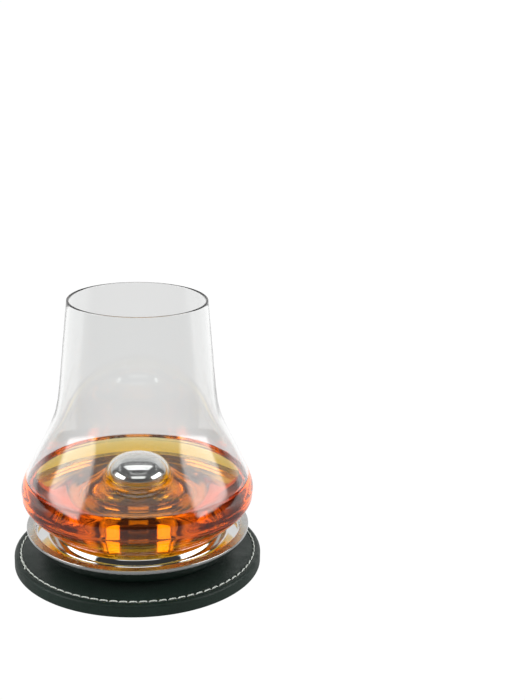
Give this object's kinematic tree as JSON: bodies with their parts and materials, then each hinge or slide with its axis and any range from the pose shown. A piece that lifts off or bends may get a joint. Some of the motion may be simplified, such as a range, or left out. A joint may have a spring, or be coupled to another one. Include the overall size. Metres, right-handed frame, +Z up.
{
  "type": "whiskey tumbler",
  "caption": "Stemless bell-shaped glass tumbler whose hollow kick sits over the knob of a gel-filled steel chilling dish, on a round stitched leather coaster.",
  "frame": {"origin": "centre of the coaster's flat underside, where the set stands on the table", "axes": "+Z up along the axis that every piece is round about, from the coaster to the rim of the glass"},
  "size_m": [0.1062, 0.1062, 0.1169],
  "materials": {
    "clear_glass": "clear, fire-polished",
    "polished_steel": "mirror-polished stainless steel with a satin rim",
    "satin_steel": "satin stainless steel",
    "freezer_gel": "soft translucent gel",
    "grey_silicone": "matt silicone",
    "black_rubber": "matt rubber",
    "green_leather": "fine grained, dark green, semi-matt",
    "backing_leather": "napped suede side",
    "foam": "open-cell foam",
    "board": "pressed grey board",
    "pale_thread": "twisted waxed thread"
  },
  "bodies": {
    "coaster": {"coaster_top_leather": "green_leather", "coaster_padding": "foam", "coaster_core_board": "board", "coaster_bottom_leather": "backing_leather", "coaster_needle_thread": "pale_thread", "coaster_bobbin_thread": "pale_thread"},
    "chilling_base": {"base_top_shell": "polished_steel", "base_bottom_pan": "satin_steel", "freezer_gel_core": "freezer_gel", "filler_plug": "grey_silicone", "plug_seal_ring": "black_rubber", "base_foot_ring": "grey_silicone"},
    "glass": {"tumbler_glass": "clear_glass"}
  },
  "joints": [
    {"name": "base_lift", "type": "slide", "parent": "coaster", "child": "chilling_base", "axis": [0, 0, 1], "range_m": [0, 0.04]},
    {"name": "glass_lift", "type": "slide", "parent": "chilling_base", "child": "glass", "axis": [0, 0, 1], "range_m": [0, 0.06]}
  ]
}
